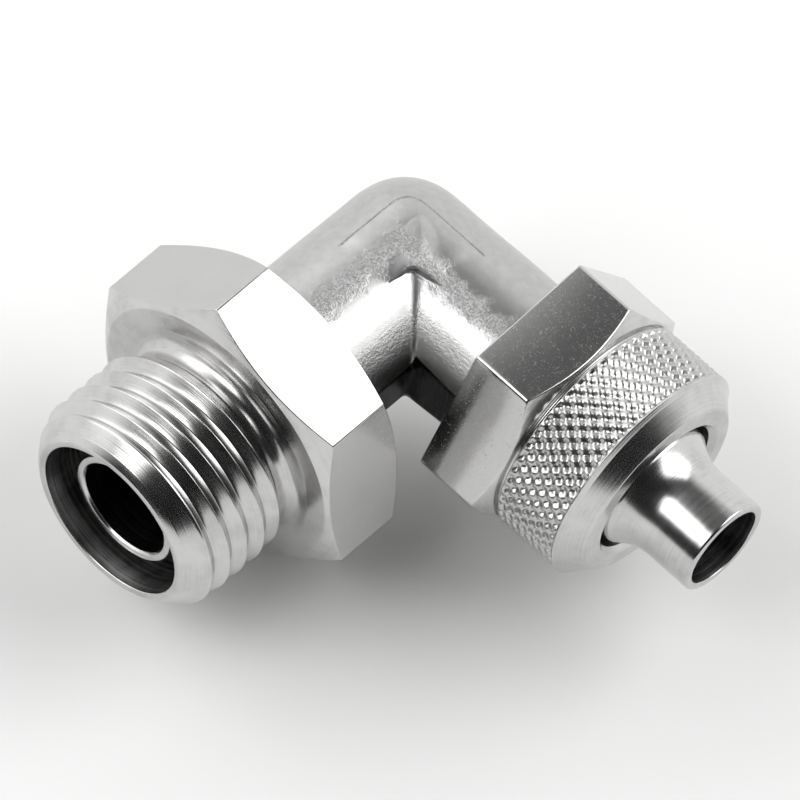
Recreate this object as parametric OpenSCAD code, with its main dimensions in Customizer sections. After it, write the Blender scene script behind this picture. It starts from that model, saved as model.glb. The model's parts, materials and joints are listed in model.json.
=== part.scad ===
// Swivel elbow for 8/6 mm tube: G1/4 male thread in, push-on spigot with clamp nut out.
// Origin: centre of the adapter hex's seating face. The thread points along -Y, the spigot along +X,
// and both axes lie in the plane z = 0.

/* [Elbow] */
// Distance from the seating face to the crossing of the two axes
elbow_offset = 15.3; // [14:0.1:18]
// Radius of the inlet arm
inlet_arm_r = 5.15; // [4.9:0.05:5.4]
// Radius of the outlet arm where it meets the threaded boss
outlet_arm_r = 4.75; // [4.4:0.05:5.1]
// Radius of the rounded outer corner
corner_r = 5.1; // [4.8:0.05:5.4]
// Distance from the arm axes of the flats left where the forging flash was trimmed
flash_offset = 4.93; // [4.8:0.01:5]
// Width of the raised L-shaped land on each side, where it follows the inlet arm
land_inlet_w = 3.4; // [2:0.1:5]
// Width of the land where it follows the outlet arm
land_outlet_w = 3.2; // [2:0.1:5]
// Height of the land above the middle plane
land_z = 5.16; // [5.16:0.02:5.4]
// Length of the land along the inlet arm, from the crossing of the axes
land_inlet = 4.4; // [3:0.1:5.5]
// Length of the land along the outlet arm, from the crossing of the axes
land_outlet = 3.9; // [3:0.1:5]

/* [Adapter] */
// Width across flats of the adapter hex
hex_af = 17; // [16:1:19]
// Length of the adapter hex
hex_len = 5.5; // [4.5:0.1:6]
// Angle of one hex corner from +X towards +Z
hex_turn = 42; // [0:1:60]
// Major diameter of the G1/4 thread
thread_d = 13.157; // [13.1:0.001:13.2]
// Pitch of the G1/4 thread
thread_pitch = 1.337; // [1.337:0.001:1.337]
// Length from the seating face to the mouth
thread_len = 8.4; // [8:0.1:10]
// Distance of the first thread crest from the mouth
first_crest = 1.3; // [1.2:0.05:1.4]
// Number of thread crests
crests = 5; // [3:1:5]
// Diameter of the relief neck behind the thread
neck_d = 11.2; // [10.8:0.1:11.4]
// Diameter of the counterbore at the mouth
counterbore_d = 9.8; // [9.4:0.1:10]
// Distance from the seating face to the counterbore's floor
counterbore_from = 3; // [2:0.1:4]

/* [Swivel stem] */
// Diameter of the stem's journal
journal_d = 8; // [7.6:0.1:8.4]
// Diameter of the stem's thin end
stem_end_d = 6.8; // [6.6:0.1:7]
// Diameter of the flow bore through the stem
inlet_bore_d = 6; // [5:0.1:6.2]
// Distance of the stem's end behind the mouth
stem_recess = 1.1; // [0.5:0.1:2]
// Depth that the stem is pressed into the elbow
stem_press = 4; // [3:0.1:5]
// Radial clearance of the running fits
running_fit = 0.05; // [0.02:0.01:0.1]

/* [Outlet] */
// Major diameter of the outlet thread, M12 x 1
outlet_thread_d = 11.9; // [11.8:0.05:11.95]
// Distance of the threaded boss's inner end from the inlet axis
boss_from = 8.8; // [8.7:0.1:9.5]
// Distance of the threaded boss's outer end from the inlet axis
boss_to = 15; // [14:0.1:15.4]
// Outer diameter of the spigot that the tube is pushed over
spigot_d = 6; // [5.8:0.05:6.1]
// Diameter of the flow bore through the spigot
outlet_bore_d = 5; // [4:0.1:5.2]
// Distance of the spigot's tip from the inlet axis
spigot_to = 24; // [22:0.1:26]
// Diameter of the spigot's root where it is pressed into the elbow
spigot_root_d = 7.5; // [7:0.1:8]

/* [Clamp nut] */
// Width across flats of the nut
nut_af = 14; // [13:1:15]
// Distance of the nut's inner face from the inlet axis
nut_from = 8.6; // [8.5:0.05:8.7]
// Distance of the end of the nut's hex from the inlet axis
nut_hex_to = 13.15; // [12.5:0.05:13.5]
// Distance of the nut's outer face from the inlet axis
nut_to = 19; // [18:0.1:20]
// Diameter over the knurl
knurl_d = 13.9; // [13:0.1:14]
// Bore in the nut's end wall, for tube of 8 mm
nut_bore_d = 8.5; // [8.3:0.1:8.8]
// Angle of one nut hex corner from -Y towards +Z
nut_turn = -5; // [-30:1:30]

/* [Hidden] */

nickel = [0.78, 0.77, 0.74];
satin_nickel = [0.70, 0.69, 0.66];
spring_steel = [0.45, 0.46, 0.48];
nbr = [0.08, 0.08, 0.08];

$fn = 96;

// Inlet side: heights run from the seating face towards the mouth, so the elbow side is negative.
stem_tip = thread_len - stem_recess;
thread_r = thread_d / 2;
thread_depth = 0.640327 * thread_pitch;
crest_flat = 0.2;
root_flat = 0.2;
neck_r = neck_d / 2;
neck_root = 1;
neck_land = 0.05;
mouth_chamfer = 0.45;
rim_r = 5.45;
rim_edge = 0.15;
hex_chamfer_r = hex_af / 2 - 0.25;
hex_chamfer_angle = 26;
chamfer_reach = 2.1;
dish_r = 6.75;
dish_root_r = neck_r - 0.3;
dish_depth = 0.25;
inlet_face_gap = 0.1;
land_outer_x = -1.7;
land_outer_y = 0.9;

ring_t = 0.6;
ring_from = counterbore_from + 0.1;
ring_outer_r = 4.6;
ring_groove_r = 3.6;
ring_gap_w = 2.4;
ring_play = 0.02;
ring_land_r = journal_d / 2 - 0.1;
journal_to = ring_from + ring_t + 0.5;
journal_chamfer = 0.2;
lip_r = stem_end_d / 2 + 0.1;
lip_flare = 0.6;
lip_edge = 0.1;

seal_r = 0.42;
seal_at = -2.75;
seal_play = 0.04;
seal_groove_w = 1.3;
seal_groove_r = journal_d / 2 + 2 * (seal_r + seal_play);

// Outlet side: positions run from the inlet axis along +X.
boss_root_chamfer = 0.5;
boss_lead_chamfer = 0.6;
clamp_cone_from = 16.4;
clamp_cone_to = 17.8;
nut_chamfer_r = nut_af / 2 - 0.1;
nut_chamfer_angle = 30;
knurl_from = 13.45;
knurl_runout = 0.25;
knurl_to = 17.6;
knurl_edge = 0.15;
knurl_neck_r = 6.55;
nut_cone_r = 6.6;
nut_face_r = 5.6;
nut_face_edge = 0.1;
nut_face_lip = 0.3;
nut_thread_r = outlet_thread_d / 2 + running_fit;
spigot_collar_r = 4.9;
spigot_collar_t = 0.6;
spigot_root_from = 9.5;
spigot_root_r = spigot_root_d / 2;
spigot_r = spigot_d / 2;
spigot_flare_r = 3.85;
spigot_flare_from = nut_to - 0.2;
spigot_clamp_r = spigot_flare_r + 0.2;
spigot_clamp_at = clamp_cone_to - 0.4;
spigot_straight_from = 21;
flare_steps = 6;
tip_chamfer = 0.12;
collar_to = boss_to + spigot_collar_t;
drill_tip = 1.2;

// Turns a shape made about +Z so that it lies on the inlet axis, pointing out of the mouth
module on_inlet() {
  rotate([90, 0, 0]) children();
}

// Turns a shape made about +Z so that it lies on the outlet axis, pointing out along +X
module on_outlet() {
  translate([0, elbow_offset, 0]) rotate([0, 90, 0]) children();
}

// Solid of revolution through a list of [radius, height] points, closed along the axis
module turned(points) {
  rotate_extrude()
    polygon(concat([[0, points[0][1]]], points, [[0, points[len(points) - 1][1]]]));
}

// Straight hole or shaft of radius r between two heights
module round_bar(r, from, to) {
  translate([0, 0, from]) cylinder(r = r, h = to - from);
}

// Hexagonal bar with the given width across flats
module hex_bar(af, from, to, turn) {
  translate([0, 0, from]) rotate([0, 0, turn]) cylinder(d = af / cos(30), h = to - from, $fn = 6);
}

// Outline of the annular crests that stand for the G1/4 thread, from the neck out to the mouth
function crest_points(at) = [
  [thread_r - thread_depth, at - thread_pitch / 2 + root_flat / 2],
  [thread_r, at - crest_flat / 2],
  [thread_r, at + crest_flat / 2],
  [thread_r - thread_depth, at + thread_pitch / 2 - root_flat / 2]
];

module adapter_thread() {
  first = thread_len - first_crest;
  last = first - (crests - 1) * thread_pitch;
  bottom_r = thread_r - thread_depth;
  turned(concat(
    [[neck_r, -neck_root], [neck_r, last - thread_pitch / 2 - neck_land]],
    [for (i = [crests - 1:-1:0]) each crest_points(first - i * thread_pitch)],
    [[bottom_r, thread_len - mouth_chamfer], [rim_r, thread_len - rim_edge]],
    [[rim_r - rim_edge, thread_len]]
  ));
}

// A hexagonal bar's envelope, wider than its corners, with conical chamfers that start at radius r
module chamfer_envelope(r, over, angle, from, to, from_chamfered) {
  drop = over * tan(angle);
  start = from_chamfered ? [[r, from], [r + over, from + drop]] : [[r + over, from - 1]];
  turned(concat(start, [[r + over, to - drop], [r, to]]));
}

// Hex with a shallow dish round the neck, so that a washer wider than the thread seats on a flat ring
module adapter_hex() {
  difference() {
    intersection() {
      hex_bar(hex_af, -hex_len, 0, hex_turn);
      chamfer_envelope(hex_chamfer_r, chamfer_reach, hex_chamfer_angle, -hex_len, 0, true);
    }
    turned([[dish_root_r, -dish_depth], [dish_r, 0], [dish_r, 1]]);
  }
}

module swivel_adapter() {
  color(nickel) on_inlet() difference() {
    union() {
      adapter_hex();
      adapter_thread();
    }
    round_bar(journal_d / 2 + running_fit, -hex_len - 1, thread_len + 1);
    round_bar(counterbore_d / 2, counterbore_from, thread_len + 1);
    round_bar(seal_groove_r, seal_at - seal_groove_w / 2, seal_at + seal_groove_w / 2);
  }
}

module stem_o_ring() {
  color(nbr) on_inlet() translate([0, 0, seal_at]) rotate_extrude()
    translate([journal_d / 2 + seal_r + seal_play, 0]) circle(r = seal_r);
}

// L-shaped plate through the whole elbow, so that the land stands proud on one side and mirrored on the other
module land_plate() {
  inner_x = land_outer_x + land_inlet_w;
  inner_y = land_outer_y - land_outlet_w;
  translate([0, elbow_offset, -land_z]) linear_extrude(height = 2 * land_z) polygon([
    [land_outer_x, land_outer_y], [land_outer_x, -land_inlet], [inner_x, -land_inlet],
    [inner_x, inner_y], [land_outlet, inner_y], [land_outlet, land_outer_y]
  ]);
}

// What was trimmed off the arms with the forging flash: outside the bend and at its inner corner
module flash_trim() {
  reach = elbow_offset;
  inner_y = elbow_offset - flash_offset;
  translate([-flash_offset - reach, -1, -reach]) cube([reach, 2 * reach, 2 * reach]);
  translate([-reach, elbow_offset + flash_offset, -reach]) cube([2 * reach, reach, 2 * reach]);
  translate([flash_offset, inner_y - reach, -reach]) cube([boss_from - flash_offset, reach, 2 * reach]);
}

module elbow_arms() {
  inlet_face = -hex_len - inlet_face_gap;
  on_inlet() round_bar(inlet_arm_r, -elbow_offset, inlet_face);
  translate([0, elbow_offset, 0]) sphere(r = corner_r);
  on_outlet() cylinder(r1 = corner_r, r2 = outlet_arm_r, h = boss_from + boss_root_chamfer);
}

module outlet_boss() {
  r = outlet_thread_d / 2;
  on_outlet() turned([
    [r - boss_root_chamfer, boss_from], [r, boss_from + boss_root_chamfer],
    [r, boss_to - boss_lead_chamfer], [r - boss_lead_chamfer, boss_to]
  ]);
}

module elbow_body() {
  color(satin_nickel) difference() {
    union() {
      difference() {
        elbow_arms();
        flash_trim();
      }
      outlet_boss();
      land_plate();
    }
    on_inlet() round_bar(journal_d / 2, -hex_len - stem_press, -hex_len + 1);
    on_inlet() round_bar(inlet_bore_d / 2, -elbow_offset - drill_tip, -hex_len);
    on_outlet() round_bar(spigot_root_r, spigot_root_from, boss_to + 1);
    on_outlet() round_bar(outlet_bore_d / 2, 0, boss_to);
  }
}

module swivel_stem() {
  base = -hex_len - stem_press;
  journal_r = journal_d / 2;
  end_r = stem_end_d / 2;
  groove_from = ring_from - ring_play;
  groove_to = ring_from + ring_t + ring_play;
  color(nickel) on_inlet() difference() {
    turned([
      [journal_r, base], [journal_r, groove_from], [ring_groove_r, groove_from],
      [ring_groove_r, groove_to], [ring_land_r, groove_to], [ring_land_r, journal_to - journal_chamfer],
      [end_r, journal_to], [end_r, stem_tip - lip_flare], [lip_r, stem_tip - lip_edge],
      [lip_r - lip_edge, stem_tip]
    ]);
    round_bar(inlet_bore_d / 2, base - 1, stem_tip + 1);
  }
}

module retaining_ring() {
  color(spring_steel) on_inlet() difference() {
    round_bar(ring_outer_r, ring_from, ring_from + ring_t);
    round_bar(ring_groove_r, ring_from - 1, ring_from + ring_t + 1);
    translate([0, -ring_gap_w / 2, ring_from - 1]) cube([2 * ring_outer_r, ring_gap_w, ring_t + 2]);
  }
}

// Concave flare: a parabola that runs smoothly into the straight spigot
function flare(from_r, to_r, from, to) = [
  for (i = [0:flare_steps])
    let (t = i / flare_steps)
      [to_r + (from_r - to_r) * pow(1 - t, 2), from + (to - from) * t]
];

module tube_spigot() {
  color(nickel) on_outlet() difference() {
    turned(concat(
      [[spigot_root_r, spigot_root_from], [spigot_root_r, boss_to]],
      [[spigot_collar_r, boss_to], [spigot_collar_r, collar_to]],
      [[spigot_clamp_r, spigot_clamp_at]],
      flare(spigot_flare_r, spigot_r, spigot_flare_from, spigot_straight_from),
      [[spigot_r, spigot_to - tip_chamfer], [spigot_r - tip_chamfer, spigot_to]]
    ));
    round_bar(outlet_bore_d / 2, spigot_root_from - 1, spigot_to + 1);
  }
}

module clamp_nut() {
  knurl_r = knurl_d / 2;
  // A corner at angle 0 of the bar points along -Z, so the bar turns to put it at nut_turn from -Y
  bar_turn = 270 - nut_turn;
  color(nickel) on_outlet() difference() {
    union() {
      intersection() {
        hex_bar(nut_af, nut_from, nut_hex_to, bar_turn);
        chamfer_envelope(nut_chamfer_r, chamfer_reach, nut_chamfer_angle, nut_from, nut_hex_to, false);
      }
      turned([
        [knurl_neck_r, nut_hex_to - 1], [knurl_neck_r, knurl_from], [knurl_r, knurl_from + knurl_runout],
        [knurl_r, knurl_to - knurl_edge], [nut_cone_r, knurl_to + knurl_edge],
        [nut_face_r, nut_to - nut_face_edge], [nut_face_r - nut_face_lip, nut_to]
      ]);
    }
    round_bar(nut_thread_r, nut_from - 1, clamp_cone_from);
    turned([
      [nut_thread_r, clamp_cone_from - 0.01], [nut_bore_d / 2, clamp_cone_to],
      [nut_bore_d / 2, nut_to + 1]
    ]);
  }
}

swivel_adapter();
stem_o_ring();
elbow_body();
swivel_stem();
retaining_ring();
tube_spigot();
clamp_nut();
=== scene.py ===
import json
import math

import bpy
import numpy as np
from mathutils import Matrix, Vector


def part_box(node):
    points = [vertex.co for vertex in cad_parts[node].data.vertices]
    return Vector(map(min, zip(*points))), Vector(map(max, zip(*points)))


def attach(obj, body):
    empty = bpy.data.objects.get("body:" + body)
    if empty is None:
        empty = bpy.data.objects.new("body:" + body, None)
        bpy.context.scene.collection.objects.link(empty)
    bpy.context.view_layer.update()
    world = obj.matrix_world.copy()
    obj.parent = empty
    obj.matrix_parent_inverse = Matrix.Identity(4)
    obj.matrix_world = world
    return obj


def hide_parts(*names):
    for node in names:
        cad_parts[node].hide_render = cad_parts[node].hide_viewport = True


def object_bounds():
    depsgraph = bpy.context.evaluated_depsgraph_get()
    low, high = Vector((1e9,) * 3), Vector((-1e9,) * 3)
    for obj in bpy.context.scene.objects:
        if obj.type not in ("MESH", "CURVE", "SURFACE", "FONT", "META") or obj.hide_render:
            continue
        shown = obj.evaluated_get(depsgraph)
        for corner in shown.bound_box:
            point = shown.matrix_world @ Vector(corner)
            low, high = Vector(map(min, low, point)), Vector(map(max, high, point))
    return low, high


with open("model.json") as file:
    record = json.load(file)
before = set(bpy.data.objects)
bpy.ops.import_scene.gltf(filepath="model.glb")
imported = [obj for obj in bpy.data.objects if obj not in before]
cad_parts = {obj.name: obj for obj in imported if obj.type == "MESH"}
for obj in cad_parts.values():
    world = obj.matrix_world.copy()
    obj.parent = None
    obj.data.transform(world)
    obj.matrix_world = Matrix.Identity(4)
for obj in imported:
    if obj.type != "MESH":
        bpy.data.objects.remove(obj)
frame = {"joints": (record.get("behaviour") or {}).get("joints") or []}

# Lengths in this script are millimetres until a mesh, a material or the camera is made from them.
MM = 0.001
LOW, HIGH = 0, 1
X, Y, Z = 0, 1, 2

cad_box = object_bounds()


# ---------------------------------------------------------------- places taken from the frame

def reach(node, corner, axis):
    """How far a CAD node's box reaches along an axis, in millimetres."""
    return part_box(node)[corner][axis] / MM


JOINTS = {joint["name"]: joint for joint in frame["joints"]}
CROSSING = JOINTS["nut_turn"]["pos_m"][Y] / MM
MOUTH = -reach("swivel_adapter", LOW, Y)
HEX_BACK = reach("swivel_adapter", HIGH, Y)
STEM_TIP = -reach("swivel_stem", LOW, Y)
STEM_BASE = reach("swivel_stem", HIGH, Y)
RING_FROM = -reach("retaining_ring", HIGH, Y)
RING_TO = -reach("retaining_ring", LOW, Y)
SEAL_FROM = -reach("stem_o_ring", HIGH, Y)
SEAL_TO = -reach("stem_o_ring", LOW, Y)
NUT_FROM = reach("clamp_nut", LOW, X)
NUT_TO = reach("clamp_nut", HIGH, X)
SPIGOT_FROM = reach("tube_spigot", LOW, X)
SPIGOT_TO = reach("tube_spigot", HIGH, X)
FLOOR_Z = cad_box[LOW][Z] / MM


def on_inlet(radius, height, angle):
    """Points round the inlet axis: heights run from the seating face out of the mouth, along -Y."""
    return np.stack([radius * np.cos(angle), -height, radius * np.sin(angle)], -1)


def on_outlet(radius, height, angle):
    """Points round the outlet axis: heights run from the inlet axis towards the spigot's tip, along +X."""
    return np.stack([height, CROSSING - radius * np.cos(angle), -radius * np.sin(angle)], -1)


# ---------------------------------------------------------------- meshes

def outward(points, faces):
    """The faces, all turned so that the closed surface's normals point out."""
    corners = points[faces]
    first = np.cross(corners[:, 1], corners[:, 2])
    second = np.cross(corners[:, 2], corners[:, 3])
    volume = (corners[:, 0] * (first + second)).sum()
    return faces if volume > 0 else faces[:, ::-1]


def make_piece(name, points, faces, materials, finishes, body, node):
    """A closed mesh that stands for a CAD node and rides on its body; finishes picks each face's material."""
    mesh = bpy.data.meshes.new(name)
    mesh.from_pydata((points * MM).tolist(), [], outward(points, faces).tolist())
    for material in materials:
        mesh.materials.append(material)
    mesh.polygons.foreach_set("material_index", finishes)
    mesh.polygons.foreach_set("use_smooth", np.ones(len(faces), bool))
    mesh.update()
    piece = bpy.data.objects.new(name, mesh)
    bpy.context.scene.collection.objects.link(piece)
    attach(piece, body)
    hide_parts(node)
    return piece


def weigh_normals(piece):
    """Keeps wide faces flat up to their rounded edges."""
    weighted = piece.modifiers.new("weighted_normals", "WEIGHTED_NORMAL")
    weighted.weight = 80


ARC_STEPS = 4
# Columns across a hexagon's rounded corner, in degrees round the corner's own centre.
BEND_ANGLES = (-30, -18, -6, 6, 18, 30)


def outline(corners, angles):
    """Rows of radius and height for a closed outline, with a column for each angle, and each row's finish.

    A corner is (radius, height, fillet, finish): each length is a number or has a value for each angle,
    and the finish is the one on the stretch from this corner to the next."""
    sizes = [[np.broadcast_to(value, len(angles)) for value in corner[:3]] for corner in corners]
    sizes = np.array(sizes, float)
    places, fillets = sizes[:, :2], sizes[:, 2]
    rows, finishes = [], []
    for i, corner in enumerate(corners):
        if np.all(fillets[i] == 0):
            rows.append(places[i])
            finishes.append(corner[3])
            continue
        before = places[i - 1] - places[i]
        after = places[(i + 1) % len(corners)] - places[i]
        before = before / np.hypot(*before)
        after = after / np.hypot(*after)
        half = np.arccos(np.clip((before * after).sum(0), -1, 1)) / 2
        cut = fillets[i] / np.tan(half)
        start, end = places[i] + before * cut, places[i] + after * cut
        pull = np.sin(half)
        for t in np.linspace(0, 1, ARC_STEPS + 1):
            weights = (1 - t) ** 2, 2 * pull * t * (1 - t), t ** 2
            arc = weights[0] * start + weights[1] * places[i] + weights[2] * end
            rows.append(arc / sum(weights))
            finishes.append(0)
        finishes[-1] = corner[3]
    rows = np.array(rows)
    return rows[:, 0], rows[:, 1], finishes


def ring_mesh(corners, angles, placed):
    """Points, faces and finishes of a ring-shaped solid whose section is the outline."""
    radius, height, finishes = outline(corners, angles)
    rows, columns = radius.shape
    points = placed(radius, height, np.broadcast_to(angles, radius.shape)).reshape(-1, 3)
    i, j = np.meshgrid(np.arange(rows), np.arange(columns), indexing="ij")
    here, below = i * columns, (i + 1) % rows * columns
    beside = (j + 1) % columns
    faces = np.stack([here + j, below + j, below + beside, here + beside], -1)
    return points, faces.reshape(-1, 4), np.repeat(finishes, columns)


def round_columns(count):
    return np.arange(count) * 2 * math.pi / count


def hex_columns(inradius, rounding, turn, per_side):
    """Angles of a hexagon's columns: even along its sides and close together round its corners."""
    centre = (inradius - rounding) / math.cos(math.pi / 6)
    across = np.radians(BEND_ANGLES)
    bend = np.arctan2(rounding * np.sin(across), centre + rounding * np.cos(across))
    side = np.linspace(bend[-1], math.pi / 3 + bend[0], per_side + 2)[1:-1]
    sector = np.concatenate([bend, side])
    return np.concatenate([turn + k * math.pi / 3 + sector for k in range(6)])


def hex_radius(angles, inradius, rounding, turn):
    """Radius of a hexagon with rounded corners, the first of them at the angle turn."""
    centre = (inradius - rounding) / math.cos(math.pi / 6)
    corner = (angles - turn + math.pi / 6) % (math.pi / 3) - math.pi / 6
    flat = inradius / np.cos(math.pi / 6 - np.abs(corner))
    edge = math.atan(rounding * 0.5 / (centre + rounding * math.cos(math.pi / 6)))
    reachable = np.clip(rounding ** 2 - (centre * np.sin(corner)) ** 2, 0, None)
    arc = centre * np.cos(corner) + np.sqrt(reachable)
    return np.where(np.abs(corner) <= edge + 1e-9, arc, flat)


FLANK_BLEND = 0.1


def thread_drop(along, pitch, crest, root, slope):
    """Depth below the crest of a thread at a distance along the axis: straight flanks of the given slope
    between a crest and a root that are rounded over the given lengths."""
    from_crest = np.abs((along / pitch + 0.5) % 1 - 0.5) * pitch
    from_root = pitch / 2 - from_crest
    depth = slope * (pitch / 2 - crest - root)
    upper = slope * (np.hypot(from_crest, crest) - crest)
    lower = depth - slope * (np.hypot(from_root, root) - root)
    return smooth_min(upper, lower, FLANK_BLEND)


def smooth_min(a, b, blend):
    """The lower of two values, with a rounded change from one to the other."""
    share = np.clip(0.5 + 0.5 * (b - a) / blend, 0, 1)
    return b + (a - b) * share - blend * share * (1 - share)


def smooth_max(a, b, blend):
    return -smooth_min(-a, -b, blend)


def ease(start, end, value):
    """0 before start, 1 after end, and a smooth rise between them."""
    t = np.clip((value - start) / (end - start), 0, 1)
    return t * t * (3 - 2 * t)


# ---------------------------------------------------------------- forged elbow, from a distance field

# Places in this section are measured from the crossing of the two axes.
FAR = 1e3
NET_FROM_X = -5.6
NET_MARGIN = 0.4
NET_CELL = 0.15
NET_PULLS = 5
CORNER_R = 5.03
CORNER_SHIFT = -0.38
CORNER_POWER = 2.5
INLET_R = 5.1
INLET_SHIFT = -0.05
OUTLET_DRIFT = 0.2
OUTLET_TAPER = 0.08

# Flats where the forging flash was trimmed, outside the bend and inside it.
TRIM = 4.86
TRIM_BLEND = 0.3
UPPER_TRIM = 4.45
UPPER_TRIM_BLEND = 0.6
INNER_TRIM_CORNER = 0.9
INNER_TRIM_EDGE = 0.04

# The raised land on each side, its chevron, and the lip along that.
LAND_RAISE = 0.1
LAND_LIP = 0.13
LAND_LIP_W = 1.5
LAND_SINK = 0.04
LAND_EDGE = 0.1
LAND_LOW_Z = 2.0
LAND_OUTER = 2.05
LAND_UP = 1.25
LAND_INLET = 4.7
LAND_INLET_FADE = 2.7
LAND_OUTLET = 4.25
LAND_OUTLET_FADE = 2.3
LAND_BEND = 1.2
CHEVRON_X = 1.72
CHEVRON_Y = -2.32
CHEVRON_LEAN_INLET = 0.145
CHEVRON_LEAN_OUTLET = 0.22
CHEVRON_BEND = 0.4

# The seam inside the bend is sharp where it starts and opens into a fillet; the land bridges it more widely.
SEAM_EDGE = 0.02
SEAM_FROM = 0.3
SEAM_OPENS = 0.12
SEAM_REACH = 2.5
BRIDGE_FROM = -0.4
BRIDGE_OPENS = 0.6
BRIDGE_REACH = 1.8
LAND_BLEND = 0.05

BOSS_FROM = NUT_FROM + 0.2
BOSS_TO = 15.0
BOSS_R = 5.87
BOSS_PITCH = 1.0
BOSS_CREST = 0.05
BOSS_ROOT = 0.08
BOSS_CHAMFER = 0.5
FLANK_SLOPE = 1.1
DRILL_TIP = 1.2
DRILL_SLOPE = 0.5
BORE_BLEND = 0.12


def tubes(x, y, z):
    """The two forged arms, each with the outer corner on its end."""
    across, along = np.abs(x - INLET_SHIFT), np.abs(y - CORNER_SHIFT)
    corner = (across ** CORNER_POWER + along ** CORNER_POWER) ** (1 / CORNER_POWER)
    ball = np.hypot(corner, z) - CORNER_R
    inlet = np.hypot(across, z) - CORNER_R - (INLET_R - CORNER_R) * ease(0.4, 5, -y)
    drift = CORNER_SHIFT + OUTLET_DRIFT * ease(1, 8, x)
    outlet = np.hypot(y - drift, z) - CORNER_R + OUTLET_TAPER * ease(4, 9, x)
    return np.where(y < CORNER_SHIFT, inlet, ball), np.where(x > 0, outlet, ball)


def trimmed(arms, x, y):
    """Cuts the arms to length, and off flat where the forging flash was: outside the bend and inside it."""
    arms = smooth_max(arms, -TRIM - x, TRIM_BLEND)
    arms = smooth_max(arms, y - UPPER_TRIM, UPPER_TRIM_BLEND)
    inner = smooth_min(x - TRIM, -y - TRIM, INNER_TRIM_CORNER)
    arms = smooth_max(arms, inner, INNER_TRIM_EDGE)
    arms = np.maximum(arms, HEX_BACK + 0.1 - CROSSING - y)
    return np.maximum(arms, x - BOSS_FROM - BOSS_CHAMFER)


def land_distance(skin, x, y, z):
    """The raised L-shaped land on both sides, over the skin given: it has a rounded outer corner and a
    chevron for an inner one, stands highest along the chevron, and sinks away at both ends."""
    frame_x = np.maximum(-LAND_OUTER - x, x - LAND_OUTLET)
    frame_y = np.maximum(-LAND_INLET - y, y - LAND_UP)
    bend_x, bend_y = x + LAND_OUTER - LAND_BEND, y - LAND_UP + LAND_BEND
    bend = np.where((bend_x < 0) & (bend_y > 0), np.hypot(bend_x, bend_y) - LAND_BEND, -FAR)
    inlet_edge = x - CHEVRON_X - CHEVRON_LEAN_INLET * (y - CHEVRON_Y)
    outlet_edge = CHEVRON_Y + CHEVRON_LEAN_OUTLET * (x - CHEVRON_X) - y
    chevron = smooth_min(inlet_edge, outlet_edge, CHEVRON_BEND)
    border = np.maximum(np.maximum(frame_x, frame_y), np.maximum(bend, chevron))
    fade = np.maximum(ease(LAND_INLET_FADE, LAND_INLET, -y), ease(LAND_OUTLET_FADE, LAND_OUTLET, x))
    height = LAND_RAISE + LAND_LIP * ease(-LAND_LIP_W, 0, chevron)
    top = skin - height * (1 - fade) + LAND_SINK * fade
    return smooth_max(border, np.maximum(top, LAND_LOW_Z - np.abs(z)), LAND_EDGE)


def boss_distance(x, y, z):
    """The threaded boss under the nut, with its chamfers. The factors keep the field from being steeper than
    a distance."""
    radius = np.hypot(y, z)
    turn = np.arctan2(-z, -y)
    phase = x - BOSS_PITCH * turn / (2 * math.pi)
    drop = thread_drop(phase, BOSS_PITCH, BOSS_CREST, BOSS_ROOT, FLANK_SLOPE)
    surface = (radius - BOSS_R + drop) * 0.5
    chamfer = radius - BOSS_R + BOSS_CHAMFER
    surface = np.maximum(surface, (chamfer + BOSS_FROM - x) * 0.7)
    surface = np.maximum(surface, (chamfer + x - BOSS_TO) * 0.7)
    return np.maximum(surface, np.maximum(BOSS_FROM - x, x - BOSS_TO))


def bores_distance(x, y, z):
    """The two press bores and the flow bores that meet in the bend."""
    inlet_r, outlet_r = np.hypot(x, z), np.hypot(y, z)
    press = np.maximum(inlet_r - JOURNAL_R, y - STEM_BASE + CROSSING)
    drilled = np.maximum(inlet_r - STEM_BORE_R, (y - DRILL_TIP + DRILL_SLOPE * inlet_r) * 0.9)
    seat = np.maximum(outlet_r - SPIGOT_ROOT_R, SPIGOT_FROM - x)
    passage = np.maximum(outlet_r - SPIGOT_BORE_R, -x)
    return np.minimum(np.minimum(press, drilled), np.minimum(seat, passage))


def elbow_distance(x, y, z):
    """Distance from the forged elbow's surface, negative inside, at places from the crossing of its axes."""
    inlet, outlet = tubes(x, y, z)
    inside = np.minimum(x, -y)
    seam = SEAM_EDGE + SEAM_OPENS * np.clip(inside - SEAM_FROM, 0, SEAM_REACH)
    bridge = SEAM_EDGE + BRIDGE_OPENS * np.clip(inside - BRIDGE_FROM, 0, BRIDGE_REACH)
    arms = smooth_min(inlet, outlet, seam)
    skin = smooth_min(inlet, outlet, bridge)
    body = smooth_min(trimmed(arms, x, y), land_distance(skin, x, y, z), LAND_BLEND)
    body = np.minimum(body, boss_distance(x, y, z))
    return smooth_max(body, -bores_distance(x, y, z), BORE_BLEND)


def slope(field, places, step=0.02):
    """Gradient of a distance field at the places."""
    parts = []
    for axis in (X, Y, Z):
        ahead, behind = places.copy(), places.copy()
        ahead[:, axis] += step
        behind[:, axis] -= step
        parts.append((field(*ahead.T) - field(*behind.T)) / (2 * step))
    return np.stack(parts, -1)


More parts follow.
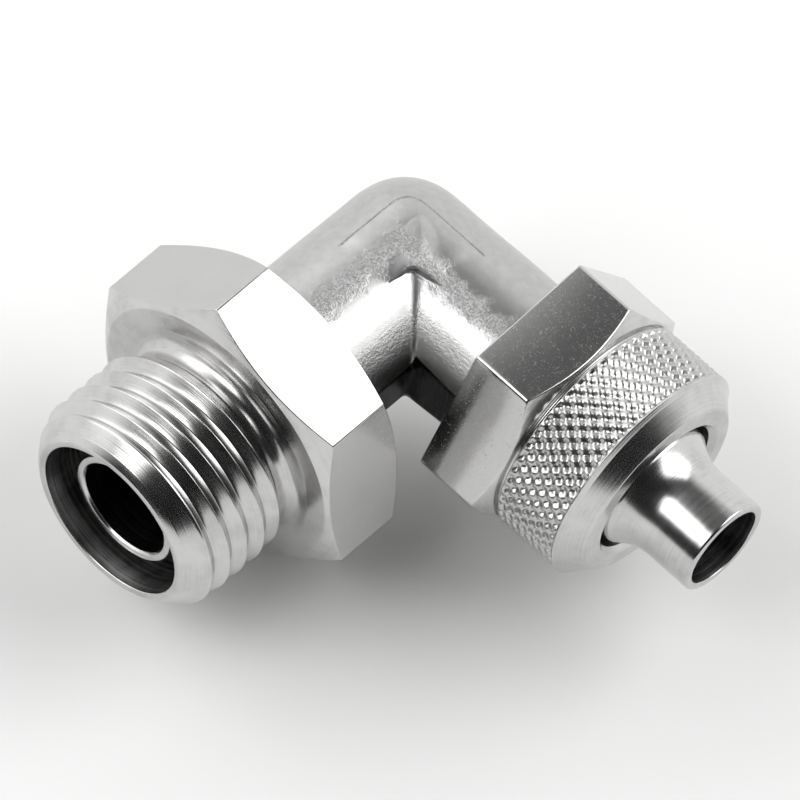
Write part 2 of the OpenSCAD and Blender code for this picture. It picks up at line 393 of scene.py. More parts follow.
def surface_net(field, low, high, cell):
    """Closed quad mesh of the surface where the field is zero: one point in each cell that it crosses, pulled
    onto the surface at the end."""
    lines = [np.arange(low[axis], high[axis] + cell, cell) for axis in (X, Y, Z)]
    x, y, z = np.meshgrid(*lines, indexing="ij")
    value = field(x, y, z)
    inside = value < 0
    cells = tuple(n - 1 for n in inside.shape)
    offsets = [(i, j, k) for i in (0, 1) for j in (0, 1) for k in (0, 1)]

    def at_corner(grid, offset):
        return grid[tuple(slice(o, o + n) for o, n in zip(offset, cells))]

    filled = sum(at_corner(inside, offset).astype(int) for offset in offsets)
    crossed = (filled > 0) & (filled < 8)
    number = np.full(cells, -1)
    number[crossed] = np.arange(crossed.sum())
    total, hits = np.zeros((crossed.sum(), 3)), np.zeros(crossed.sum())
    for offset in offsets:
        for axis in (X, Y, Z):
            if offset[axis]:
                continue
            beyond = tuple(1 if k == axis else o for k, o in enumerate(offset))
            a, b = at_corner(value, offset)[crossed], at_corner(value, beyond)[crossed]
            cut = (a < 0) != (b < 0)
            place = np.tile(np.array(offset, float), (len(a), 1))
            place[cut, axis] = a[cut] / (a[cut] - b[cut])
            total[cut] += place[cut]
            hits[cut] += 1
    start = np.argwhere(crossed)
    points = (start + total / hits[:, None]) * cell + np.array([line[0] for line in lines])
    faces = []
    for axis in (X, Y, Z):
        side, other = [k for k in (X, Y, Z) if k != axis]
        low_side = inside.take(range(cells[axis]), axis)
        high_side = inside.take(range(1, cells[axis] + 1), axis)
        edges = np.argwhere(low_side != high_side)
        leaving = low_side[tuple(edges.T)]
        corners = []
        for step_a, step_b in ((1, 1), (0, 1), (0, 0), (1, 0)):
            cell_at = edges.copy()
            cell_at[:, side] -= step_a
            cell_at[:, other] -= step_b
            corners.append(number[tuple(cell_at.T)])
        quads = np.stack(corners, -1)
        if axis == Y:
            leaving = ~leaving
        quads[leaving] = quads[leaving][:, ::-1]
        faces.append(quads)
    for _ in range(NET_PULLS):
        gradient = slope(field, points)
        step = field(*points.T) / np.maximum((gradient ** 2).sum(1), 0.05)
        points = points - np.clip(step, -cell / 3, cell / 3)[:, None] * gradient
    return points, np.concatenate(faces)


def make_elbow(material):
    low = (NET_FROM_X, HEX_BACK - CROSSING - NET_MARGIN, -BOSS_R - NET_MARGIN)
    high = (BOSS_TO + NET_MARGIN, BOSS_R + NET_MARGIN, BOSS_R + NET_MARGIN)
    points, faces = surface_net(elbow_distance, low, high, NET_CELL)
    normals = slope(elbow_distance, points)
    normals /= np.maximum(np.linalg.norm(normals, axis=1), 1e-9)[:, None]
    points[:, Y] += CROSSING
    finishes = np.zeros(len(faces), int)
    piece = make_piece(
        "elbow_forging", points, faces, [material], finishes, "elbow", "elbow_body")
    piece.data.normals_split_custom_set_from_vertices(normals.tolist())


# ---------------------------------------------------------------- swivel adapter

# Places of the finishes in a piece's list of materials.
TURNED, BORED, FLATS, KNURLED = 0, 1, 2, 3

ADAPTER_COLUMNS = 54
ADAPTER_INRADIUS = 8.5
ADAPTER_TURN = math.radians(42)
ADAPTER_ROUNDING = 0.22
ADAPTER_CHAMFER_R = 8.25
ADAPTER_CHAMFER = math.radians(26)
THREAD_R = 6.5785
THREAD_PITCH = 1.337
THREAD_CREST = 0.05
THREAD_ROOT = 0.14
THREAD_SLOPE = 0.98
THREAD_PHASE = 0.3
THREAD_STEP = 0.035
MOUTH_EDGE_R = 5.3
MOUTH_SLOPE = 0.85
MOUTH_BLEND = 0.25
NECK_R = 5.6
NECK_TO = 1.05
NECK_SLOPE = 1.3
NECK_BLEND = 0.2
DISH_R = 6.9
DISH_DEPTH = 0.24
COUNTERBORE_R = 4.9
COUNTERBORE_FROM = 3.0
JOURNAL_BORE_R = 4.05
SEAL_GROOVE_R = 4.92
SEAL_AT = (SEAL_FROM + SEAL_TO) / 2
SEAL_GROOVE_W = 1.3


def thread_rows(angles):
    """Rows of the G1/4 thread from the mouth's chamfer down to the relief neck."""
    rows = []
    for height in np.arange(MOUTH - 0.3, NECK_TO + 0.02, -THREAD_STEP):
        phase = height - THREAD_PITCH * (angles / (2 * math.pi) + THREAD_PHASE)
        drop = thread_drop(phase, THREAD_PITCH, THREAD_CREST, THREAD_ROOT, THREAD_SLOPE)
        chamfered = MOUTH_EDGE_R + 0.1 + (MOUTH - height) * MOUTH_SLOPE
        relieved = NECK_R + (height - NECK_TO) * NECK_SLOPE
        radius = smooth_min(THREAD_R - drop, chamfered, MOUTH_BLEND)
        radius = smooth_min(radius, relieved, NECK_BLEND)
        rows.append((radius, height, 0, TURNED))
    return rows


def make_adapter(turned, bored, flats):
    angles = hex_columns(ADAPTER_INRADIUS, ADAPTER_ROUNDING, ADAPTER_TURN, ADAPTER_COLUMNS)
    hexagon = hex_radius(angles, ADAPTER_INRADIUS, ADAPTER_ROUNDING, ADAPTER_TURN)
    drop = (hexagon - ADAPTER_CHAMFER_R) * math.tan(ADAPTER_CHAMFER)
    seal_from, seal_to = SEAL_AT - SEAL_GROOVE_W / 2, SEAL_AT + SEAL_GROOVE_W / 2
    corners = [
        (COUNTERBORE_R, MOUTH, 0.1, TURNED),
        (MOUTH_EDGE_R, MOUTH, 0.14, TURNED),
        *thread_rows(angles),
        (NECK_R, NECK_TO - 0.05, 0, TURNED),
        (NECK_R, -DISH_DEPTH, 0.75, TURNED),
        (DISH_R, 0, 0.4, TURNED),
        (ADAPTER_CHAMFER_R, 0, 0.1, TURNED),
        (hexagon, -drop, 0.07, FLATS),
        (hexagon, drop - HEX_BACK, 0.07, TURNED),
        (ADAPTER_CHAMFER_R, -HEX_BACK, 0.1, TURNED),
        (JOURNAL_BORE_R, -HEX_BACK, 0.15, BORED),
        (JOURNAL_BORE_R, seal_from, 0, BORED),
        (SEAL_GROOVE_R, seal_from, 0, BORED),
        (SEAL_GROOVE_R, seal_to, 0, BORED),
        (JOURNAL_BORE_R, seal_to, 0, BORED),
        (JOURNAL_BORE_R, COUNTERBORE_FROM, 0.1, BORED),
        (COUNTERBORE_R, COUNTERBORE_FROM, 0.15, BORED),
    ]
    points, faces, finishes = ring_mesh(corners, angles, on_inlet)
    materials = [turned, bored, flats]
    piece = make_piece(
        "adapter", points, faces, materials, finishes, "adapter", "swivel_adapter")
    weigh_normals(piece)


# ---------------------------------------------------------------- stem, ring and seal

ROUND_COLUMNS = 192
STEM_BORE_R = 3.0
JOURNAL_R = 4.0
SHOULDER_R = 3.9
STEM_END_R = 3.4
LIP_R = 3.52
RING_W = 1.0
RING_PLAY = 0.02
RING_HALF_GAP = 1.2
RING_COLUMNS = 120
RING_EDGE = 0.08
SEAL_COLUMNS = 128
SEAL_ROWS = 28


def make_stem(turned, bored):
    groove_r = reach("retaining_ring", HIGH, Z) - RING_W
    corners = [
        (JOURNAL_R, -STEM_BASE, 0.3, TURNED),
        (JOURNAL_R, RING_FROM - RING_PLAY, 0.05, TURNED),
        (groove_r, RING_FROM - RING_PLAY, 0, TURNED),
        (groove_r, RING_TO + RING_PLAY, 0, TURNED),
        (SHOULDER_R, RING_TO + RING_PLAY, 0.05, TURNED),
        (SHOULDER_R, RING_TO + 0.3, 0.05, TURNED),
        (STEM_END_R, RING_TO + 0.5, 0.2, TURNED),
        (STEM_END_R, STEM_TIP - 0.7, 0.5, TURNED),
        (LIP_R, STEM_TIP - 0.25, 0.15, TURNED),
        (LIP_R - 0.02, STEM_TIP, 0.1, TURNED),
        (STEM_BORE_R + 0.1, STEM_TIP, 0.05, TURNED),
        (STEM_BORE_R, STEM_TIP - 0.15, 0.1, BORED),
        (STEM_BORE_R, -STEM_BASE, 0, TURNED),
    ]
    points, faces, finishes = ring_mesh(corners, round_columns(ROUND_COLUMNS), on_inlet)
    piece = make_piece(
        "stem", points, faces, [turned, bored], finishes, "elbow", "swivel_stem")
    weigh_normals(piece)


def make_retaining_ring(steel):
    """Open ring: a bevelled section carried round the stem, with its two ends closed."""
    outer = reach("retaining_ring", HIGH, Z)
    inner = outer - RING_W
    half_gap = math.asin(RING_HALF_GAP / inner)
    angles = np.linspace(half_gap, 2 * math.pi - half_gap, RING_COLUMNS)
    corners = [
        (outer, RING_TO, RING_EDGE, TURNED),
        (outer, RING_FROM, RING_EDGE, TURNED),
        (inner, RING_FROM, RING_EDGE, TURNED),
        (inner, RING_TO, RING_EDGE, TURNED),
    ]
    points, faces, _ = ring_mesh(corners, angles, on_inlet)
    columns = len(angles)
    closing = np.arange(len(faces)) % columns == columns - 1
    rows = len(faces) // columns
    first = np.arange(rows) * columns
    last = first + columns - 1
    faces = faces[~closing]
    half = rows // 2
    steps = np.arange(half - 1)
    caps = [
        np.stack([end[steps], end[steps + 1], end[rows - 2 - steps], end[rows - 1 - steps]], -1)
        for end in (first, last)
    ]
    faces = np.concatenate([faces, caps[0][:, ::-1], caps[1]])
    finishes = np.zeros(len(faces), int)
    piece = make_piece(
        "stem_clip", points, faces, [steel], finishes, "elbow", "retaining_ring")
    weigh_normals(piece)


def make_seal(rubber):
    section_r = (SEAL_TO - SEAL_FROM) / 2
    centre_r = reach("stem_o_ring", HIGH, Z) - section_r
    corners = [
        (centre_r + section_r * math.cos(a), SEAL_AT + section_r * math.sin(a), 0, TURNED)
        for a in round_columns(SEAL_ROWS)
    ]
    points, faces, finishes = ring_mesh(corners, round_columns(SEAL_COLUMNS), on_inlet)
    make_piece("seal", points, faces, [rubber], finishes, "adapter", "stem_o_ring")


# ---------------------------------------------------------------- spigot and nut

SPIGOT_ROOT_R = 3.75
SPIGOT_BORE_R = 2.5
SPIGOT_R = 3.0
FLARE_R = 3.85
FLARE_FROM = NUT_TO - 0.2
FLARE_TO = 21.0
FLARE_STEPS = 24
NECK_IN_NUT = 17.4
COLLAR_R = 4.9
COLLAR_TO = BOSS_TO + 0.6


def make_spigot(turned, bored):
    flare = []
    for t in np.linspace(0, 1, FLARE_STEPS):
        radius = SPIGOT_R + (FLARE_R - SPIGOT_R) * (1 - t) ** 2
        flare.append((radius, FLARE_FROM + (FLARE_TO - FLARE_FROM) * t, 0, TURNED))
    corners = [
        (SPIGOT_ROOT_R, SPIGOT_FROM, 0.2, TURNED),
        (SPIGOT_ROOT_R, BOSS_TO, 0, TURNED),
        (COLLAR_R, BOSS_TO, 0.1, TURNED),
        (COLLAR_R, COLLAR_TO, 0.15, TURNED),
        (FLARE_R + 0.2, NECK_IN_NUT, 0.5, TURNED),
        *flare,
        (SPIGOT_R, SPIGOT_TO, 0.16, TURNED),
        (SPIGOT_BORE_R, SPIGOT_TO, 0.08, BORED),
        (SPIGOT_BORE_R, SPIGOT_FROM, 0, TURNED),
    ]
    points, faces, finishes = ring_mesh(corners, round_columns(ROUND_COLUMNS), on_outlet)
    piece = make_piece(
        "spigot", points, faces, [turned, bored], finishes, "elbow", "tube_spigot")
    weigh_normals(piece)


NUT_COLUMNS = 100
NUT_INRADIUS = 7.0
NUT_TURN = math.radians(5)
NUT_ROUNDING = 0.3
NUT_CHAMFER_R = 6.9
NUT_CHAMFER = math.radians(30)
NUT_HEX_TO = 13.15
NUT_NECK_R = 6.55
KNURL_R = 6.95
KNURL_FROM = 13.5
KNURL_TO = 17.6
KNURLS = 50
KNURL_PITCH = 1.05
KNURL_DEPTH = 0.27
KNURL_POWER = 0.7
KNURL_STEP = 0.05
NUT_EDGE_R = 6.62
NUT_EDGE_AT = 17.75
NUT_FACE_R = 5.6
NUT_BORE_R = 4.25
NUT_THREAD_R = 6.0
NUT_CONE_FROM = 16.4
NUT_CONE_TO = 17.8


def knurl_rows(angles):
    """Rows of the diamond knurl: two sets of grooves that cross, fading out at both ends."""
    rows = []
    for height in np.arange(KNURL_FROM, KNURL_TO + KNURL_STEP / 2, KNURL_STEP):
        around = angles * KNURLS
        along = 2 * math.pi * height / KNURL_PITCH
        raised = ((2 + np.cos(around + along) + np.cos(around - along)) / 4) ** KNURL_POWER
        start = ease(KNURL_FROM - 0.05, KNURL_FROM + 0.3, height)
        end = 1 - ease(KNURL_TO - 0.12, KNURL_TO, height)
        radius = KNURL_R - KNURL_DEPTH * (1 - raised) * min(start, end)
        rows.append((radius, height, 0, KNURLED))
    return rows


def make_nut(turned, bored, flats, knurled):
    angles = hex_columns(NUT_INRADIUS, NUT_ROUNDING, NUT_TURN, NUT_COLUMNS)
    hexagon = hex_radius(angles, NUT_INRADIUS, NUT_ROUNDING, NUT_TURN)
    drop = (hexagon - NUT_CHAMFER_R) * math.tan(NUT_CHAMFER)
    corners = [
        (NUT_THREAD_R + 0.5, NUT_FROM, 0.05, TURNED),
        (hexagon, NUT_FROM, 0.1, FLATS),
        (hexagon, NUT_HEX_TO - drop, 0.16, TURNED),
        (NUT_CHAMFER_R, NUT_HEX_TO, 0.04, TURNED),
        (NUT_NECK_R, NUT_HEX_TO, 0.12, TURNED),
        (NUT_NECK_R, KNURL_FROM - 0.12, 0.1, TURNED),
        *knurl_rows(angles),
        (KNURL_R, KNURL_TO + 0.03, 0.03, TURNED),
        (NUT_EDGE_R, NUT_EDGE_AT + 0.1, 0.06, TURNED),
        (NUT_FACE_R, NUT_TO - 0.08, 0.15, TURNED),
        (NUT_BORE_R + 0.35, NUT_TO, 0.05, TURNED),
        (NUT_BORE_R, NUT_TO - 0.3, 0.08, BORED),
        (NUT_BORE_R, NUT_CONE_TO, 0.2, BORED),
        (NUT_THREAD_R, NUT_CONE_FROM, 0.1, BORED),
        (NUT_THREAD_R, NUT_FROM + 0.5, 0.05, BORED),
    ]
    points, faces, finishes = ring_mesh(corners, angles, on_outlet)
    materials = [turned, bored, flats, knurled]
    piece = make_piece(
        "knurled_nut", points, faces, materials, finishes, "nut", "clamp_nut")
    weigh_normals(piece)


# ---------------------------------------------------------------- materials

RANGE_SOCKETS = ("From Min", "From Max", "To Min", "To Max")


class Graph:
    """A material's node tree, with short calls for the nodes that the finishes share."""

    def __init__(self, name):
        self.material = bpy.data.materials.new(name)
        self.material.use_nodes = True
        self.nodes = self.material.node_tree.nodes
        self.links = self.material.node_tree.links
        self.shader = self.nodes["Principled BSDF"]
        self.place = self.nodes.new("ShaderNodeTexCoord").outputs["Object"]

    def join(self, source, target):
        if isinstance(source, (int, float, tuple)):
            target.default_value = source
        else:
            self.links.new(source, target)

    def math(self, operation, a, b=0.0, c=0.0):
        node = self.nodes.new("ShaderNodeMath")
        node.operation = operation
        for value, socket in zip((a, b, c), node.inputs):
            self.join(value, socket)
        return node.outputs[0]

    def noise(self, size, detail=2.0, roughness=0.5, place=None):
        """Noise whose features are about size millimetres wide."""
        node = self.nodes.new("ShaderNodeTexNoise")
        self.links.new(place or self.place, node.inputs["Vector"])
        node.inputs["Scale"].default_value = 1 / (size * MM)
        node.inputs["Detail"].default_value = detail
        node.inputs["Roughness"].default_value = roughness
        return node.outputs["Fac"]

    def spread(self, value, low, high, to_low=0.0, to_high=1.0):
        """Goes smoothly from to_low to to_high as the value goes from low to high."""
        node = self.nodes.new("ShaderNodeMapRange")
        node.interpolation_type = "SMOOTHSTEP"
        self.join(value, node.inputs["Value"])
        for socket, number in zip(RANGE_SOCKETS, (low, high, to_low, to_high)):
            node.inputs[socket].default_value = number
        return node.outputs["Result"]

    def band(self, value, start, full, fading, end):
        """1 between full and fading, and 0 before start and after end."""
        rising = self.spread(value, start, full)
        return self.math("MULTIPLY", rising, self.spread(value, fading, end, 1.0, 0.0))

    def turning(self, axis, size):
        """Noise that changes only along the axis and away from it: the rings that a lathe tool leaves."""
        split = self.nodes.new("ShaderNodeSeparateXYZ")
        self.links.new(self.place, split.inputs[0])
        along = split.outputs[axis]
        if axis == X:
            across = self.math("SUBTRACT", split.outputs[Y], CROSSING * MM)
        else:
            across = split.outputs[X]
        square = self.math("MULTIPLY", across, across)
        square = self.math("MULTIPLY_ADD", split.outputs[Z], split.outputs[Z], square)
        rings = self.nodes.new("ShaderNodeCombineXYZ")
        self.links.new(along, rings.inputs[X])
        self.links.new(self.math("SQRT", square), rings.inputs[Y])
        return self.noise(size, 3.0, 0.6, rings.outputs[0])

    def squash(self, scale):
        """The place, scaled along each axis, so that noise there is drawn out."""
        node = self.nodes.new("ShaderNodeVectorMath")
        node.operation = "MULTIPLY"
        self.links.new(self.place, node.inputs[0])
        node.inputs[1].default_value = scale
        return node.outputs[0]

    def blend(self, a, b, factor):
        """Goes from a to b as the factor goes from 0 to 1."""
        change = self.math("SUBTRACT", b, a)
        return self.math("MULTIPLY_ADD", change, factor, a)

    def tint(self, dark, light, factor):
        node = self.nodes.new("ShaderNodeMix")
        node.data_type = "RGBA"
        self.join(factor, node.inputs["Factor"])
        node.inputs["A"].default_value = (*dark, 1)
        node.inputs["B"].default_value = (*light, 1)
        self.links.new(node.outputs["Result"], self.shader.inputs["Base Color"])

    def bump(self, height, depth, strength=1.0, under=None):
        """Bump whose full height is depth millimetres, over the bump before it."""
        node = self.nodes.new("ShaderNodeBump")
        self.links.new(height, node.inputs["Height"])
        node.inputs["Distance"].default_value = depth * MM
        node.inputs["Strength"].default_value = strength
        if under is not None:
            self.links.new(under, node.inputs["Normal"])
        return node.outputs["Normal"]

    def finish(self, roughness, normal, metallic=1.0):
        self.links.new(roughness, self.shader.inputs["Roughness"])
        self.links.new(normal, self.shader.inputs["Normal"])
        self.shader.inputs["Metallic"].default_value = metallic
        return self.material


BLACK = (0.0, 0.0, 0.0)
NICKEL_DARK = (0.50, 0.498, 0.494)
NICKEL_LIGHT = (0.62, 0.618, 0.612)
NICKEL_SATIN = (0.58, 0.579, 0.576)
STEEL_DARK = (0.20, 0.205, 0.22)
STEEL_LIGHT = (0.36, 0.36, 0.37)
RUBBER_DARK = (0.012, 0.012, 0.012)
RUBBER_LIGHT = (0.035, 0.035, 0.034)
FLOOR_DARK = (0.92, 0.92, 0.915)
FLOOR_LIGHT = (0.94, 0.94, 0.935)

# The crease ends here along each arm, from the crossing of the axes.
CREASE_INLET = 4.25
CREASE_OUTLET = 3.9
CREASE_END = 0.15


def turned_nickel(name, axis):
    """Bright plating over fine turning marks, with faint stains and a few rubbed spots."""
    graph = Graph(name)
    rings = graph.turning(axis, 0.09)
    broad_rings = graph.turning(axis, 0.45)
    stain = graph.noise(1.8, 4.0, 0.6)
    grain = graph.noise(0.07, 2.0)
    rubbed = graph.math("MULTIPLY_ADD", rings, 0.35, graph.math("MULTIPLY", stain, 0.65))
    graph.tint(NICKEL_DARK, NICKEL_LIGHT, graph.spread(rubbed, 0.35, 0.58))
    roughness = graph.math("MULTIPLY_ADD", stain, 0.1, 0.1)
    roughness = graph.math("MULTIPLY_ADD", rings, 0.08, roughness)
    normal = graph.bump(broad_rings, 0.007)
    normal = graph.bump(rings, 0.005, 1.0, normal)
    normal = graph.bump(grain, 0.0005, 1.0, normal)
    return graph.finish(roughness, normal)


def shaded_bored_nickel(name, axis, bright):
    """Bores: thinner and duller plating over plain turning marks, with the colour darkened as painted shade
    inside the hole, no brighter than the brightness given.
    """
    graph = Graph(name)
    rings = graph.turning(axis, 0.16)
    stain = graph.noise(1.2, 3.0, 0.6)
    worn = graph.math("MULTIPLY_ADD", rings, 0.7, graph.math("MULTIPLY", stain, 0.3))
    # The brightness given caps the bore's colour: painted shade inside the hole.
    dark, light = (0.2 * bright,) * 3, (bright,) * 3
    graph.tint(dark, light, graph.spread(worn, 0.34, 0.68))
    roughness = graph.math("MULTIPLY_ADD", rings, 0.2, 0.2)
    return graph.finish(roughness, graph.bump(rings, 0.02))


def flat_nickel(name):
    """Hexagon sides: plating over drawn bar, with a scatter of tiny bright pits and soft scratches."""
    graph = Graph(name)
    speckle = graph.noise(0.075, 2.0, 0.6)
    patches = graph.noise(2.2, 3.0, 0.55)
    cloud = graph.noise(0.25, 3.0, 0.6)
    chance = graph.math("MULTIPLY_ADD", cloud, 0.35, speckle)
    bright = graph.math("MULTIPLY", graph.spread(chance, 0.78, 0.9), 0.4)
    shade = graph.math("MULTIPLY_ADD", cloud, 0.5, graph.math("MULTIPLY", patches, 0.5))
    graph.tint(NICKEL_DARK, NICKEL_LIGHT, graph.math("MAXIMUM", bright, shade))
    roughness = graph.math("MULTIPLY_ADD", bright, 0.3, 0.13)
    roughness = graph.math("MULTIPLY_ADD", patches, 0.08, roughness)
    normal = graph.bump(patches, 0.003)
    normal = graph.bump(cloud, 0.0015, 1.0, normal)
    normal = graph.bump(bright, 0.004, 1.0, normal)
    return graph.finish(roughness, normal)


def knurl_nickel(name):
    """Knurl: bright plating, a little rough where the tool pressed it."""
    graph = Graph(name)
    grain = graph.noise(0.12, 2.0)
    patches = graph.noise(0.4, 2.0)
    graph.tint(NICKEL_DARK, NICKEL_LIGHT, patches)
    roughness = graph.math("MULTIPLY_ADD", patches, 0.15, 0.22)
    normal = graph.bump(patches, 0.025)
    normal = graph.bump(grain, 0.01, 1.0, normal)
    return graph.finish(roughness, normal)


def forged_nickel(name):
    """Blasted forging under satin plating: a fine even grain, a crease round the outer side of the land that
    is a groove with painted shade along it, rough and wrinkled where the die pinched the inside of the bend,
    and drawn marks on the two flats where the flash was sheared off there, both flats painted near-black as a
    painted reflection of the shadowed floor under the bend."""
    graph = Graph(name)
    split = graph.nodes.new("ShaderNodeSeparateXYZ")
    graph.links.new(graph.place, split.inputs[0])
    inward = graph.math("SUBTRACT", CROSSING * MM, split.outputs[Y])
    depth = graph.math("DIVIDE", graph.math("MINIMUM", split.outputs[X], inward), MM)
    sheared_painted_black = graph.spread(depth, TRIM - 0.07, TRIM - 0.03)
    side = graph.math("DIVIDE", graph.math("ABSOLUTE", split.outputs[Z]), MM)

    grain = graph.noise(0.055, 2.0, 0.6)
    peel = graph.noise(0.5, 3.0, 0.5)
    rough = graph.noise(0.13, 4.0, 0.7)
    beside = graph.math("ADD", split.outputs[X], 1.5 * MM)
    beside = graph.math("DIVIDE", graph.math("MINIMUM", beside, inward), MM)
    wander = graph.math("MULTIPLY_ADD", graph.noise(0.8, 4.0, 0.65), 2.4, beside)
    pinched = graph.band(wander, 1.7, 2.8, 2.9, 3.8)
    pinched = graph.math("MULTIPLY", pinched, graph.spread(side, 3.9, 4.5))
    wrinkled = graph.band(depth, 2.9, 3.6, 4.0, 4.6)
    wrinkles = graph.noise(0.3, 4.0, 0.7, graph.squash((1, 1, 2.5)))
    drawn = graph.noise(0.1, 3.0, 0.7, graph.squash((1, 1, 0.06)))

    # Distances outside the land's two straight edges, and a rounded corner between them.
    left = graph.math("SUBTRACT", -LAND_OUTER, graph.math("DIVIDE", split.outputs[X], MM))
    above = graph.math("SUBTRACT", -LAND_UP, graph.math("DIVIDE", inward, MM))
    corner = 6 * LAND_BEND * (1 - math.sqrt(0.5))
    edge = graph.math("ABSOLUTE", graph.math("SMOOTH_MAX", left, above, corner))
    # The crease is a groove in the bump and painted shade in the colour, darkening along the land's outer
    # edge.
    crease_and_shade = graph.spread(edge, 0.02, 0.14, 1.0, 0.0)
    for beyond, end in ((left, -LAND_OUTER - CREASE_OUTLET), (above, -LAND_UP - CREASE_INLET)):
        crease_and_shade = graph.math("MULTIPLY", crease_and_shade, graph.spread(beyond, end, end + CREASE_END))
    crease_and_shade = graph.math("MULTIPLY", crease_and_shade, graph.spread(side, 3.6, 4.0))
    crease_and_shade = graph.math("MULTIPLY", crease_and_shade, graph.spread(rough, 0.42, 0.56, 0.15, 1.0))

    dull_and_crease_shade = graph.math("MULTIPLY", graph.spread(rough, 0.6, 0.4), pinched)
    dull_and_crease_shade = graph.math("MAXIMUM", dull_and_crease_shade, crease_and_shade)
    shade = graph.math("MULTIPLY_ADD", grain, -0.12, graph.spread(peel, 0.25, 0.75, 1.0, 0.9))
    # Darker where the skin is pinched rough, and painted shade along the crease.
    shade = graph.math("MULTIPLY", shade, graph.spread(dull_and_crease_shade, 0.0, 1.0, 1.0, 0.6))
    # The sheared flats are painted near-black: a painted reflection of the shadowed floor below the bend,
    # which the drawn marks only vary.
    dark = graph.spread(drawn, 0.45, 0.75, 0.01, 0.09)
    shade = graph.blend(shade, dark, sheared_painted_black)
    graph.tint(BLACK, NICKEL_SATIN, shade)
    roughness = graph.math("MULTIPLY_ADD", grain, 0.08, 0.27)
    roughness = graph.math("MULTIPLY_ADD", pinched, 0.08, roughness)
    normal = graph.bump(peel, 0.0012)
    normal = graph.bump(graph.math("MULTIPLY", wrinkles, wrinkled), 0.05, 1.0, normal)
    normal = graph.bump(graph.math("MULTIPLY", rough, pinched), 0.05, 1.0, normal)
    normal = graph.bump(graph.math("SUBTRACT", 1.0, crease_and_shade), 0.03, 1.0, normal)
    normal = graph.bump(grain, 0.007, 1.0, normal)
    return graph.finish(roughness, normal)


def spring_steel(name):
    """Blued spring steel with fine rolling marks."""
    graph = Graph(name)
    marks = graph.turning(Y, 0.05)
    patches = graph.noise(0.8, 3.0)
    graph.tint(STEEL_DARK, STEEL_LIGHT, patches)
    roughness = graph.math("MULTIPLY_ADD", marks, 0.2, 0.28)
    return graph.finish(roughness, graph.bump(marks, 0.002))


def nitrile(name):
    """Matt black rubber with a little bloom."""
    graph = Graph(name)
    grain = graph.noise(0.08, 3.0)
    bloom = graph.noise(0.9, 3.0)
    graph.tint(RUBBER_DARK, RUBBER_LIGHT, bloom)
    roughness = graph.math("MULTIPLY_ADD", bloom, 0.15, 0.5)
    return graph.finish(roughness, graph.bump(grain, 0.006), 0.0)


# ---------------------------------------------------------------- studio

def direction(azimuth, elevation):
    """Unit vector: azimuth from +X towards +Y and elevation above the floor, in degrees."""
    a, e = math.radians(azimuth), math.radians(elevation)
    return Vector((math.cos(a) * math.cos(e), math.sin(a) * math.cos(e), math.sin(e)))


class Sky:
    """The world's light: a pale room that is dark in front and overhead, with soft panels in it."""

    def __init__(self):
        world = bpy.data.worlds.new("studio")
        bpy.context.scene.world = world
        world.use_nodes = True
        self.nodes = world.node_tree.nodes
        self.links = world.node_tree.links
        self.background = self.nodes["Background"]
        self.output = self.nodes["World Output"]
        self.ray = self.nodes.new("ShaderNodeTexCoord").outputs["Generated"]

    def math(self, operation, *values):
        node = self.nodes.new("ShaderNodeMath")
        node.operation = operation
        for value, socket in zip(values, node.inputs):
            if isinstance(value, (int, float)):
                socket.default_value = value
            else:
                self.links.new(value, socket)
        return node.outputs[0]

    def towards(self, vector):
        """How far the ray points along a unit vector: 1 straight along it, 0 square to it."""
        node = self.nodes.new("ShaderNodeVectorMath")
        node.operation = "DOT_PRODUCT"
        self.links.new(self.ray, node.inputs[0])
        node.inputs[1].default_value = vector
        return node.outputs["Value"]

    def rise(self, value, start, end, low=0.0, high=1.0):
        node = self.nodes.new("ShaderNodeMapRange")
        node.interpolation_type = "SMOOTHSTEP"
        self.links.new(value, node.inputs["Value"])
        for socket, number in zip(RANGE_SOCKETS, (start, end, low, high)):
            node.inputs[socket].default_value = number
        return node.outputs["Result"]

    def panel(self, azimuth, elevation, width, height, soft, strength):
        """A soft-edged rectangle of light, its sizes given as angles in degrees."""
        centre = direction(azimuth, elevation)
        side = Vector((0, 0, 1)).cross(centre).normalized()
        top = centre.cross(side)
        depth = self.math("MAXIMUM", self.towards(centre), 0.001)
        light = strength
        for vector, size in ((side, width), (top, height)):
            offset = self.math("ABSOLUTE", self.math("DIVIDE", self.towards(vector), depth))
            half = math.tan(math.radians(size / 2))
            inside = self.rise(offset, half - soft / 2, half + soft / 2, 1.0, 0.0)
            light = self.math("MULTIPLY", inside, light)
        return light

    def light(self, parts, backdrop):
        """Adds the parts up. The camera itself sees an even backdrop where it looks past the floor."""
        total = parts[0]
        for part in parts[1:]:
            total = self.math("ADD", total, part)
        self.links.new(total, self.background.inputs["Strength"])
        plain = self.nodes.new("ShaderNodeBackground")
        plain.inputs["Color"].default_value = (backdrop, backdrop, backdrop, 1)
        chosen = self.nodes.new("ShaderNodeMixShader")
        seen = self.nodes.new("ShaderNodeLightPath").outputs["Is Camera Ray"]
        self.links.new(seen, chosen.inputs["Fac"])
        self.links.new(self.background.outputs[0], chosen.inputs[1])
        self.links.new(plain.outputs[0], chosen.inputs[2])
        self.links.new(chosen.outputs[0], self.output.inputs["Surface"])


# Each panel: azimuth, elevation, width and height in degrees, softness of its edges, and strength.
PANELS = (
    (50, 50, 46, 34, 0.25, 3.1),
    (-112, 49, 27, 31, 0.25, 3.8),
    (-168, 40, 50, 40, 0.9, 1.6),
)
FRONT = -45
CEILING_DIMMED = 0.87
DARKEST = 0.02
BACKDROP = 0.95


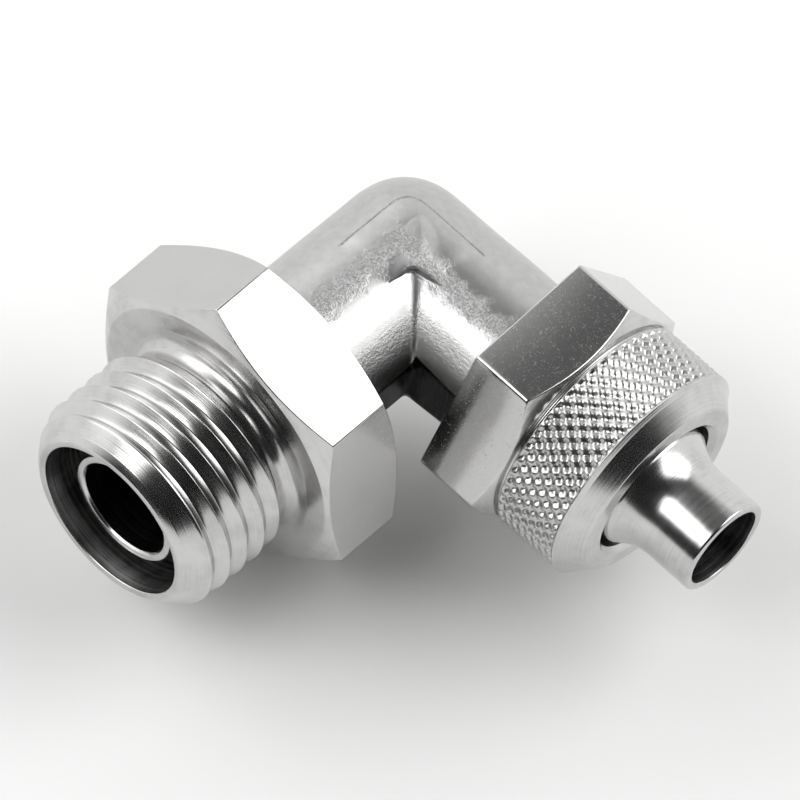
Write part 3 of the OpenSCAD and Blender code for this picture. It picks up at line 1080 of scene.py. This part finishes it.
def light_studio():
    sky = Sky()
    sky.background.inputs["Color"].default_value = (1, 1, 1, 1)
    height = sky.towards(Vector((0, 0, 1)))
    front = sky.rise(sky.towards(direction(FRONT, 0)), -0.1, 0.45)
    zenith = sky.rise(height, 0.6, 0.88)
    walls = sky.math("MULTIPLY_ADD", front, -1.0, 1.0)
    ceiling = sky.math("MULTIPLY_ADD", zenith, -CEILING_DIMMED, 1.0)
    room = sky.math("MULTIPLY", walls, ceiling)
    sky.light([sky.math("MAXIMUM", room, DARKEST), *(sky.panel(*panel) for panel in PANELS)], BACKDROP)


FLOOR_HALF = 3000
FLOOR_GAP = 0.01


def lay_floor():
    half, z = FLOOR_HALF * MM, (FLOOR_Z - FLOOR_GAP) * MM
    corners = [(-half, -half, z), (half, -half, z), (half, half, z), (-half, half, z)]
    mesh = bpy.data.meshes.new("floor")
    mesh.from_pydata(corners, [], [(0, 1, 2, 3)])
    floor = bpy.data.objects.new("floor", mesh)
    bpy.context.scene.collection.objects.link(floor)
    graph = Graph("pale_floor")
    graph.tint(FLOOR_DARK, FLOOR_LIGHT, graph.noise(60, 2.0))
    graph.shader.inputs["Roughness"].default_value = 0.75
    graph.shader.inputs["Specular IOR Level"].default_value = 0.2
    mesh.materials.append(graph.material)


LENS = 1500
SENSOR = 36
VIEW_WIDTH = 43.84
CAMERA_BACK = (0.294, -0.431, 0.850)
CAMERA_RIGHT = (0.720, 0.697, 0.103)
CROSSING_RIGHT = 0.5315
CROSSING_UP = 7.123


def place_camera():
    """Looks down at the inner side of the bend, rolled so that the mouth is low on the left. The crossing of
    the axes is the given lengths right of the picture's centre and above it."""
    back = Vector(CAMERA_BACK).normalized()
    right = Vector(CAMERA_RIGHT)
    right = (right - back * right.dot(back)).normalized()
    up = back.cross(right)
    target = Vector((0, CROSSING, 0)) - CROSSING_RIGHT * right - CROSSING_UP * up
    data = bpy.data.cameras.new("camera")
    data.lens = LENS
    data.sensor_width = SENSOR
    data.clip_start = 0.01
    data.clip_end = 10
    camera = bpy.data.objects.new("camera", data)
    place = Matrix((right, up, back)).transposed().to_4x4()
    place.translation = (target + back * VIEW_WIDTH * LENS / SENSOR) * MM
    camera.matrix_world = place
    bpy.context.scene.collection.objects.link(camera)
    bpy.context.scene.camera = camera


scene = bpy.context.scene
scene.view_settings.view_transform = "Standard"
scene.view_settings.look = "None"
scene.cycles.use_denoising = True

place_camera()
light_studio()
lay_floor()

inlet_nickel = turned_nickel("turned_nickel_inlet", Y)
outlet_nickel = turned_nickel("turned_nickel_outlet", X)
side_nickel = flat_nickel("hexagon_nickel")
# The bores' brightness caps are painted shade: the stem's deep drilled bore is painted almost black.
outlet_bores = shaded_bored_nickel("bored_nickel_outlet", X, 0.55)
make_adapter(inlet_nickel, shaded_bored_nickel("bored_nickel_inlet", Y, 0.6), side_nickel)
make_stem(inlet_nickel, shaded_bored_nickel("drilled_nickel_stem_painted_shade", Y, 0.12))
make_retaining_ring(spring_steel("blued_spring_steel"))
make_seal(nitrile("nitrile_rubber"))
make_elbow(forged_nickel("satin_forged_nickel"))
make_spigot(outlet_nickel, outlet_bores)
make_nut(outlet_nickel, outlet_bores, side_nickel, knurl_nickel("knurled_nickel"))
